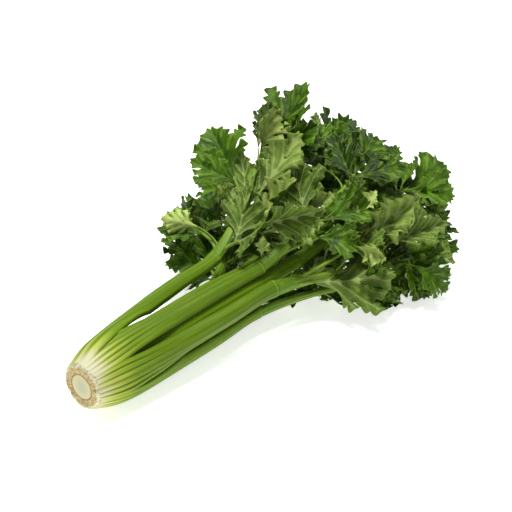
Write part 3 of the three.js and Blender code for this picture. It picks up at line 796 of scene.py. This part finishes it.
SAME = 0.5  # how far the nearer half of its points may lie from the solid, in millimetres


def bent_as_solid(tree, tried, points_of):
    """Of a stem or blade tried in all its bends, the one that lies on the solid, if any does."""

    def distance(one):
        apart = sorted(tree.find(Vector(p))[2] for p in points_of(one))
        return sum(apart[: len(apart) // 2]) / (len(apart) // 2)

    apart = [distance(one) for one in tried]
    best = int(np.argmin(apart))
    return tried[best] if apart[best] < SAME else None


def leaflet_on(midrib, row):
    """A leaflet of one blade and its stem."""
    at, left, lift, length, size, tilt, sky, seed, *blade = row
    leaf_left, leaf_lift, tone, slim = blade or (left, lift - 6, -1, 1)
    twig = Twig(midrib.at(at)[0], midrib.way(at)[0], heading(left, lift, 0)[0], length)
    foot = twig.at(1)[0] - 1.5 * twig.way(1)[0]
    leaf = Leaf(foot, heading(leaf_left, leaf_lift, tilt), sky, size, seed, slim)
    leaf.tone = tone
    return twig, leaf


def corners_of(node):
    """The corners of a solid, kept so that the nearest one is quickly found."""
    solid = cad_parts[node].data
    tree = kdtree.KDTree(len(solid.vertices))
    for i, vertex in enumerate(solid.vertices):
        tree.insert(Vector(np.array(vertex.co) * 1000 - CUT_MIDDLE), i)
    tree.balance()
    return tree


def main_leaflets(stalk, index, midrib, second, radii, tree):
    """The leaflets that the solid has too, each stem and blade bent as its solid was."""
    twigs, leaves = [], []
    knots = [KNOTS[0], second, KNOTS[1]]
    for k, (joint, left, lift, length, size, sky, blades) in enumerate(FRONDS[stalk["name"]]):
        start, along = midrib.at(knots[joint])[0], midrib.way(knots[joint])[0]
        thick = mix(1.5, 2.3, (size - 34) / 56)
        ends = min(thick * 1.25, radii[joint]), thick * 0.75
        shares = np.array([1 / 3, 2 / 3, 1])
        tried = [
            Twig(start, along, heading(left + turn, lift + more, 0)[0], length)
            for more, turn, _ in BENDS
        ]

        def rings_of(twig):
            return rings_round(twig, shares, mix(*ends, shares), 5).reshape(-1, 3)

        twig = bent_as_solid(tree, tried, rings_of)
        if not twig:
            continue
        twigs.append((twig, ends, length))
        for b in range(blades):
            seed = 1000 * (index + 1) + 10 * k + b + 7
            draw = draws(seed + POSE_SEED)
            at = max(0.3, 1 - 8 / length) if b else 1
            out = twig.way(at)[0]
            foot = twig.at(at)[0] - 1.5 * out
            out_left, out_lift = degrees_of(out)
            spread = SIDE_BLADES[b] * mix(0.9, 1.2, draw())
            raised = mix(-10, 10, draw())
            tilt = mix(-26, 26, draw())
            poses = [
                heading(out_left + spread + turn, out_lift + raised + more, tilt + tip)
                for more, turn, tip in BENDS
            ]
            long = size * SIDE_SIZE if b else size
            tried = [Leaf(foot, pose, sky, long, seed) for pose in poses]
            leaf = bent_as_solid(tree, tried, Leaf.corners)
            if leaf:
                leaves.append(leaf)
    for which, tone in TONES.get(stalk["name"], {}).items():
        leaves[which].tone = tone
    return twigs, leaves


def fillers(stalk, index, midrib, tree):
    """Rows of small leaflets on every side of a midrib, wherever they stay close to the solid."""
    rows, draw = [], draws(FILL_SEED + index)
    for at in FILL_AT:
        for hand in (1, -1):
            left, lift = degrees_of(midrib.way(at)[0])
            left += hand * mix(28, 74, draw())
            lift += mix(-34, 26, draw())
            length, size = mix(8, 20, draw()), mix(38, 58, draw())
            seed = FILLER_SEED + 100 * index + int(at * 50) + hand
            sky = 1 if draw() < 0.7 else -1
            row = [at, left, lift, length, size, mix(-40, 40, draw()), sky, seed]
            corners = leaflet_on(midrib, row)[1].corners()
            near = max(tree.find(Vector(p))[2] for p in corners) < FILL_NEAR
            if near and (stalk["name"], at, hand) not in BARE:
                rows.append(row)
    return rows


def grown_frond(stalk, index):
    """The midrib of a frond, its leaflet stems and its blades."""
    line, joints = stalk["line"], stalk["joints"]
    radii = MIDRIB[stalk["name"].split("_")[0]]
    first = line.place_of(joints[0][0] + JOINT_GAP)[0]
    second = (line.place_of(joints[1][0])[0] - first) / (1 - first)
    inward = outward(stalk["turn"] + stalk.get("twist", 0)) * (-radii[0] * 1.1)
    steps = np.arange(9) / 8
    midrib = Line(line.at(mix(first, 1, steps)) + np.outer(mix(1, 0.3, steps), inward))
    tree = corners_of("frond_" + stalk["name"])
    twigs, leaves = main_leaflets(stalk, index, midrib, second, radii, tree)
    for row in LEAFLETS.get(stalk["name"], []) + fillers(stalk, index, midrib, tree):
        twig, leaf = leaflet_on(midrib, row)
        twigs.append((twig, THIN_STEM, row[3]))
        leaves.append(leaf)
    return midrib, second, radii, twigs, leaves


def stem(line, share, radius, sides, ribs, lengths):
    """A closed stem round its line, ribbed lengthwise: points, faces and values."""
    turn = np.arange(sides) / sides * 2 * math.pi
    ridge = 1 + 0.07 * np.cos(turn * ribs)
    rings = rings_round(line, share, radius[:, None] * ridge, sides)
    values = {"height": np.repeat(lengths, sides), "rib": np.tile(turn * 2, len(share))}
    return rings.reshape(-1, 3), closed_skin(len(share), sides), values


def joined(parts):
    """Several parts, each with its points, faces and values, in one."""
    points, faces, values = [], [], {}
    for made, skin, own in parts:
        first = sum(len(p) for p in points)
        points.append(made)
        faces.extend([[first + i for i in face] for face in skin])
        for key, value in own.items():
            values.setdefault(key, []).append(value)
    return np.vstack(points), faces, {key: np.concatenate(value) for key, value in values.items()}


def stems_piece(midrib, second, radii, twigs, neck, out):
    """The midrib and its leaflet stems. The midrib starts as broad as the end of its stalk."""
    share = np.linspace(0, 1, 90) ** 1.3
    radius = np.where(
        share < second,
        mix(radii[0], radii[1], share / second),
        mix(radii[1], radii[2], (share - second) / (1 - second)),
    )
    radius = radius * (1 + 0.16 * hill(share - second, 0.025))
    radius[-3:] *= [0.9, 0.6, 0.2]
    points, faces, values = stem(midrib, share, radius, 32, 8, share * 200)
    rings = points.reshape(len(share), -1, 3)
    centre, along = midrib.at(share), midrib.way(share)
    out = unit(out - along * (along @ out)[:, None])
    side = np.cross(along, out)
    widen = (neck * 0.93 / radii[0] - 1) * hill(share, second * 0.62)
    swing = ((rings - centre[:, None]) * side[:, None]).sum(axis=2, keepdims=True)
    rings = rings + side[:, None] * swing * widen[:, None, None]
    rings[0] -= along[0] * 3.4
    parts = [(rings.reshape(-1, 3), faces, values)]
    for twig, ends, length in twigs:
        share = np.linspace(0, 1, max(10, int(length / 2.5)))
        radius = mix(*ends, share) * (1 + 0.35 * hill(share * length, 4))
        radius[-1] *= 0.3
        parts.append(stem(twig, share, radius, 14, 4, 40 + share * length))
    return joined(parts)


def stem_paint(shade):
    height, rib = shade.point_value("height"), shade.point_value("rib")
    streak = shade.grain(rib * 1.3, height * 0.05, 3.0, 3.0)
    hair = shade.grain(rib * 5, height * 0.1, 8.0, 2.0)
    thin = streak.step(0.3, 0.7).between(tint(96, 128, 24), tint(126, 152, 50))
    green = height.step(5, 70).between(tint(84, 118, 8), thin)
    lined = (hair.step(0.5, 0.75) * 0.35).between(green, tint(146, 170, 76))
    return lined, hair * 0.2 + 0.38, hair, 0.0003


# Blades: each leaflet has one to three, three-lobed, cut into rounded teeth, glossy dark green
# above and pale and matt beneath, with veins that stand proud of the underside.
LEAF_THICK = 0.44
TOOTH = 0.105  # length of a tooth as a share of the blade's
TOOTH_CURVE = [[0, 0], [0.2, 0.3], [0.45, 0.66], [0.68, 0.93], [0.84, 1]]
TOOTH_CURVE += [[0.94, 0.76], [0.985, 0.3]]
TOOTH_RISE = 0.66  # height of a tooth as a share of its length
SMOOTH = 0.4  # share of each side of a lobe, next to the cut, that has no teeth
# How far the corners of the fine blade lie from those of the solid one: the cuts go deeper.
CUT = {2: [0.0, -0.1], 4: [-0.1, -0.22], 6: [-0.12, -0.11], 8: [-0.09, -0.1]}
# Side veins: where each leaves the rib, its bend, and the corner of the outline it runs to.
SIDE_VEINS = [
    [[0.13, 0], [0.3, 0.2], 2],
    [[0.24, 0], [0.5, 0.26], 4],
    [[0.46, 0], [0.66, 0.18], 6],
    [[0.7, 0], [0.84, 0.1], 8],
]
VEIN_STEP = 2.2  # between the points of a vein


def edge_of(leaf, hand):
    """One side's edge from foot to tip on the flat blade, and the tips of its teeth."""
    scale = np.array([leaf.size, leaf.wide])
    corners = np.array([[0, 0], *leaf.outline[hand], [1, 0]])
    outside = 1 if hand == 0 else -1
    for k, (back, inward) in CUT.items():
        corners[k] += [back, inward * outside]
    corners = corners * scale
    points, tips = [], []
    for k in range(len(corners) - 1):
        a, b = corners[k], corners[k + 1]
        span = np.linalg.norm(b - a)
        way = (b - a) / span
        normal = np.array([-way[1], way[0]]) * outside
        if k < 2:
            for q in np.linspace(0, 1, max(2, int(span / 2.5)) + 1)[:-1]:
                dip = normal * 0.05 * span * math.sin(math.pi * q) * (k == 1)
                points.append(a + way * span * q - dip)
            continue
        rising = k % 2 == 0 or k == 9
        side = []
        bare = np.linspace(0, SMOOTH, max(3, int(SMOOTH * span / 1.8)))[:-1]
        side.extend([[q, 0.0] for q in bare])
        teeth = max(1, round(span * (1 - SMOOTH) / (TOOTH * leaf.size)))
        for j in range(teeth):
            width = span * (1 - SMOOTH) / teeth
            high = TOOTH_RISE * width * mix(0.6, 1.2, leaf.draw())
            for w, h in TOOTH_CURVE:
                side.append([SMOOTH + (1 - SMOOTH) * (j + w) / teeth, high * h])
            q = SMOOTH + (1 - SMOOTH) * (j + 0.72) / teeth
            along = q if rising else 1 - q
            tips.append(a + way * span * along + normal * high * 0.4)
        if not rising:
            side = [[1 - q, high] for q, high in side[::-1]]
        for q, high in side:
            t = q if rising else 1 - q
            swell = 6.75 * t * t * (1 - t) * 0.1 * span
            points.append(a + way * span * q + normal * (swell + high))
    return points, tips


def inside_of(points, loop):
    """Which points lie inside a closed loop."""
    x, y = points[:, :1], points[:, 1:]
    a, b = loop, np.roll(loop, -1, axis=0)
    spans = (a[:, 1] > y) != (b[:, 1] > y)
    with np.errstate(divide="ignore", invalid="ignore"):
        cross = a[:, 0] + (y - a[:, 1]) / (b[:, 1] - a[:, 1]) * (b[:, 0] - a[:, 0])
    return (spans & (x < cross)).sum(axis=1) % 2 == 1


def distance_to(points, starts, ends):
    """How far each point is from the nearest of some straight pieces."""
    run = ends - starts
    size = np.maximum((run**2).sum(axis=1), 1e-9)
    offset = points[:, None] - starts[None]
    t = np.clip((offset * run).sum(axis=2) / size, 0, 1)
    return np.linalg.norm(offset - t[..., None] * run, axis=2).min(axis=1)


def veins_of(leaf, tips, loop):
    """The rib, its side veins and a vein for each tooth, as lines of points on the flat."""
    scale = np.array([leaf.size, leaf.wide])
    steps = max(10, int(leaf.size / VEIN_STEP))
    main = [np.column_stack([np.linspace(0.0, 0.985, steps), np.zeros(steps)]) * scale]
    for hand in (0, 1):
        for start, knee, tip in SIDE_VEINS:
            sign = 1 - 2 * hand
            a, b = np.array(start) * scale, np.array(knee) * [1, sign] * scale
            c = np.array(leaf.outline[hand][tip]) * scale
            a[0] = main[0][np.argmin(abs(main[0][:, 0] - a[0])), 0]
            c = mix(b, c, 0.97)
            count = max(4, int(np.linalg.norm(c - a) / VEIN_STEP))
            t = np.linspace(0, 1, count)[:, None]
            main.append(a * (1 - t) ** 2 + b * 2 * t * (1 - t) + c * t * t)
    fine = []
    nodes = np.vstack([line[1:-1] for line in main])
    for tip in tips:
        back = nodes[:, 0] < tip[0] + 0.5
        if not back.any():
            continue
        reach = nodes[back] + [0.045 * leaf.size, 0] - tip
        start = nodes[back][np.argmin(np.linalg.norm(reach, axis=1))]
        count = max(2, int(np.linalg.norm(tip - start) / VEIN_STEP))
        line = mix(start, tip, np.linspace(0, 1, count + 1)[:, None])
        if inside_of(line[1:], loop).all() and np.linalg.norm(tip - start) > 1.5:
            fine.append(line)
    return main, fine


def blade_mesh(leaf):
    """Points, faces and values of one blade, cut out flat and laid on its surface."""
    upper, upper_tips = edge_of(leaf, 0)
    lower, lower_tips = edge_of(leaf, 1)
    loop = np.array([*upper, [leaf.size, 0], *lower[:0:-1]])
    main, fine = veins_of(leaf, upper_tips + lower_tips, loop)
    gap = max(1.9, leaf.size * 0.03)
    across = np.arange(-leaf.wide * 1.3, leaf.wide * 1.3, gap * 0.87)
    length = np.arange(0, leaf.size * 1.05, gap)
    hexes = np.array([[x + (i % 2) * gap / 2, y] for i, y in enumerate(across) for x in length])

    def ends_of(lines):
        return np.vstack([line[:-1] for line in lines]), np.vstack([line[1:] for line in lines])

    loop_ends = loop, np.roll(loop, -1, axis=0)
    main_ends = ends_of(main)
    fine_ends = ends_of(fine or main)
    hexes = hexes[inside_of(hexes, loop)]
    clear = distance_to(hexes, *loop_ends) > gap * 0.5
    clear &= distance_to(hexes, *main_ends) > gap * 0.55
    clear &= distance_to(hexes, *fine_ends) > gap * 0.55
    flat, edges, seen = [*loop, *hexes[clear]], [], {}
    for line in main + fine:
        ids = []
        for p in line:
            key = (round(p[0], 3), round(p[1], 3))
            if key not in seen:
                seen[key] = len(flat)
                flat.append(p)
            ids.append(seen[key])
        edges.extend(zip(ids, ids[1:]))
    outline = [list(range(len(loop)))]
    made = geometry.delaunay_2d_cdt([Vector(p) for p in flat], edges, outline, 1, 1e-4)
    places, triangles = np.array([list(p) for p in made[0]]), np.array(made[2])
    used, triangles = np.unique(triangles, return_inverse=True)
    places, triangles = places[used], triangles.reshape(-1, 3)
    u, v = places[:, 0] / leaf.size, places[:, 1] / leaf.wide
    point, normal = leaf.surface(u, v)
    to_main, to_fine = distance_to(places, *main_ends), distance_to(places, *fine_ends)
    to_edge = distance_to(places, *loop_ends)
    nearest = np.minimum(to_main, to_fine)
    # The blade bulges between its veins, is pleated along the main ones, and frills at its edge.
    inner = ease(to_edge, 0, 3)
    quilt = 0.4 * (1 - hill(nearest, 1.5)) * inner - 0.3 * hill(to_main, 0.9)
    pleat = mix(0.02, 0.045, leaf.draw()) * leaf.size
    quilt = quilt + pleat * (1 - hill(to_main, 0.075 * leaf.size))
    roll = np.sin(u * 5.2 + leaf.phase * 2) * np.cos(v * 2.6 + leaf.phase * 3)
    roll = roll * ease(np.hypot(u, v), 0.2, 0.9)
    quilt = quilt + 0.05 * leaf.size * roll
    frill = 0.8 * np.sin(places[:, 0] * 0.55 + leaf.phase * 3) * (1 - ease(to_edge, 0, 7))
    frill = frill * np.abs(v)
    # The veins stand proud of the underside.
    proud = 0.6 * hill(to_main, 0.9) + 0.18 * hill(to_fine, 0.6)
    proud = proud * (1 - 0.5 * u) * ease(to_edge, 0, 1.5)
    # The upper side of the leaf lies along its normal where the sky sees it, and against it else.
    top = normal * leaf.sky
    base = point + top * (quilt + frill)[:, None]
    base[:, 2] = LEAF_REST + np.logaddexp(0, (base[:, 2] - LEAF_REST) / 0.7) * 0.7
    count = len(places)
    underside = base - top * (LEAF_THICK / 2 + proud)[:, None]
    points = np.vstack([base + top * LEAF_THICK / 2, underside])
    face = triangles[:, ::-1] if leaf.sky > 0 else triangles
    sides = np.vstack([triangles[:, [i, (i + 1) % 3]] for i in range(3)])
    keys, times = np.unique(np.sort(sides, axis=1), axis=0, return_counts=True)
    rim = {tuple(k) for k in keys[times == 1]}
    faces = [*face.tolist(), *(face[:, ::-1] + count).tolist()]
    for a, b, c in face.tolist():
        for i, j in ((a, b), (b, c), (c, a)):
            if (min(i, j), max(i, j)) in rim:
                faces.append([j, i, i + count, j + count])
    values = {
        "to_main": np.tile(to_main, 2),
        "to_fine": np.tile(to_fine, 2),
        "to_edge": np.tile(to_edge, 2),
        "under": np.repeat([0.0, 1.0], count),
        "flat_x": np.tile(places[:, 0], 2),
        "flat_y": np.tile(places[:, 1], 2),
        "own": np.full(2 * count, leaf.draw() if leaf.tone < 0 else leaf.tone),
    }
    return points, faces, values


def leaf_paint(shade):
    names = ("to_main", "to_fine", "to_edge", "under", "flat_x", "flat_y", "own")
    to_main, to_fine, to_edge, under, x, y, own = (shade.point_value(name) for name in names)
    place = shade.node("CombineXYZ", {}, {0: x, 1: y, 2: own * 300})
    mesh = {"feature": "DISTANCE_TO_EDGE"}
    net = shade.node("TexVoronoi", mesh, {"Vector": place, "Scale": 0.55})
    cells = 1 - net.step(0.0, 0.16)
    # Cloudy patches over each blade: partly the blade's uneven green, partly painted light and
    # shade, lighter and darker areas standing in for lit and shaded parts of the blade.
    cloud = shade.grain(x * 0.05, y * 0.05, own * 90, 3.0)
    fine = shade.grain(x * 1.2, y * 1.2, own * 40, 3.0)
    vein = shade.math("MAXIMUM", 1 - to_main.step(0.0, 0.7), (1 - to_fine.step(0.0, 0.5)) * 0.6)
    streak = shade.grain(x * 0.08 + 5, y * 0.9, own * 60, 3.0)
    island = shade.math("MINIMUM", to_main, to_fine).step(0.5, 3.0)
    upper = coated(
        own.step(0.1, 0.9).between(tint(14, 40, 0), tint(42, 76, 0)),
        # Lighter cloudy patches: uneven green and painted light.
        (cloud.step(0.38, 0.7) * (0.4 + own * 0.6), (80, 120, 0)),
        (streak.step(0.4, 0.7) * 0.26, (22, 50, 0)),
        (cells * 0.15, (86, 120, 14)),
        (vein * 0.3, (116, 148, 30)),
    )
    lower = coated(
        own.step(0.34, 1.0).between(tint(40, 68, 0), tint(190, 206, 116)),
        # Darker cloudy patches: uneven green and painted shade.
        (cloud.step(0.35, 0.7) * 0.6, (62, 92, 4)),
        (streak.step(0.45, 0.7) * 0.45, (132, 156, 62)),
        (island * (0.3 + cloud * 0.3), (66, 96, 6)),
        (cells * 0.2, (140, 164, 76)),
        (vein * 0.45, (176, 194, 116)),
    )
    skin = coated(
        under.between(upper, lower),
        ((1 - to_edge.step(0.0, 1.2)) * 0.4, (132, 160, 62)),
        (fine.step(0.66, 0.8) * 0.2, (118, 146, 40)),
    )
    height = fine * 0.5 + (1 - cells) * 0.4 - vein * (1 - under) * 0.6 + streak * 0.5
    return skin, under * 0.16 + fine * 0.16 + 0.26, height, 0.0004


stem_skin = new_finish("stem_skin", flesh(0.15, (0.6, 1.0, 0.1), 0.002, 0.22), stem_paint)
leaf_skin = new_finish("leaf_skin", flesh(0.25, (0.7, 1.0, 0.05), 0.001, 0.16), leaf_paint)
for index, stalk in enumerate(STALKS):
    midrib, second, radii, twigs, leaves = grown_frond(stalk, index)
    node = "frond_" + stalk["name"]
    away = outward(stalk["turn"] + stalk.get("twist", 0))
    made = stems_piece(midrib, second, radii, twigs, stalk["ring"]["neck"], away)
    piece_of("stems_" + stalk["name"], *made, stem_skin, "leaf", node)
    made = joined([blade_mesh(leaf) for leaf in leaves])
    piece_of("leaves_" + stalk["name"], *made, leaf_skin, "leaf", node)

# Floor and light: a plain pale table under an even white sky, with one soft round light high
# over the leaves. The table glows a little, which keeps the shadows on it pale and soft.
FLOOR_REACH = 30
SKY_STRENGTH = 0.29
floor_mesh = bpy.data.meshes.new("floor")
a, b = -FLOOR_REACH, FLOOR_REACH
floor_mesh.from_pydata([(a, a, 0), (b, a, 0), (b, b, 0), (a, b, 0)], [], [(0, 1, 2, 3)])
floor = in_scene("floor", floor_mesh)


def floor_paint(shade):
    cloud = shade.cloudy(shade.node("TexCoord", {}, {}, out="Object"), 3.0, 2.0)
    return cloud.between(tint(250, 250, 250), tint(252, 252, 252)), cloud * 0.1 + 0.8, cloud, 0.0


FLOOR_GLOW = {
    "Specular IOR Level": 0.0,
    "Emission Color": (1, 1, 1, 1),
    "Emission Strength": 0.68,
}
floor_mesh.materials.append(new_finish("pale_floor", FLOOR_GLOW, floor_paint))

world = bpy.data.worlds.new("studio")
world.use_nodes = True
sky = world.node_tree.nodes["Background"]
sky.inputs["Color"].default_value = (1.0, 1.0, 1.0, 1.0)
sky.inputs["Strength"].default_value = SKY_STRENGTH
bpy.context.scene.world = world
bpy.context.scene.view_settings.view_transform = "Standard"


def aimed(name, data, place, back):
    """Puts a light or a camera in the scene, with its back turned this way."""
    thing = in_scene(name, data)
    thing.location = place
    thing.rotation_mode = "QUATERNION"
    thing.rotation_quaternion = (-back).to_track_quat("-Z", "Y")
    return thing


LIGHT_PLACE = Vector((0.12, 0.1, 1.9))  # in metres; it shines on the origin
light = bpy.data.lights.new("overhead", "AREA")
light.shape = "DISK"
light.size = 0.7
light.energy = 48
aimed("overhead", light, LIGHT_PLACE, LIGHT_PLACE)

# Camera: 29 degrees above the table, 1.5 m from the middle of the head, and looking past the
# cut root end along the stalks. Focal length and shift are given in pixels of the frame.
CAMERA_AZIMUTH = math.radians(-50)
CAMERA_LIFT = math.radians(29)
CAMERA_FAR = 1500
CAMERA_TARGET = np.array([280, 0, 50])
FRAME = 512
FOCAL = 1298.9
camera_data = bpy.data.cameras.new("camera")
camera_data.sensor_width = 36
camera_data.lens = 36 * FOCAL / FRAME
camera_data.shift_x = -2.28 / FRAME
camera_data.shift_y = 17.37 / FRAME
level = math.cos(CAMERA_LIFT)
back = math.sin(CAMERA_AZIMUTH) * level, -math.cos(CAMERA_AZIMUTH) * level, math.sin(CAMERA_LIFT)
back = Vector(back)
camera_place = Vector((CAMERA_TARGET + CUT_MIDDLE) / 1000) + back * CAMERA_FAR / 1000
bpy.context.scene.camera = aimed("camera", camera_data, camera_place, back)
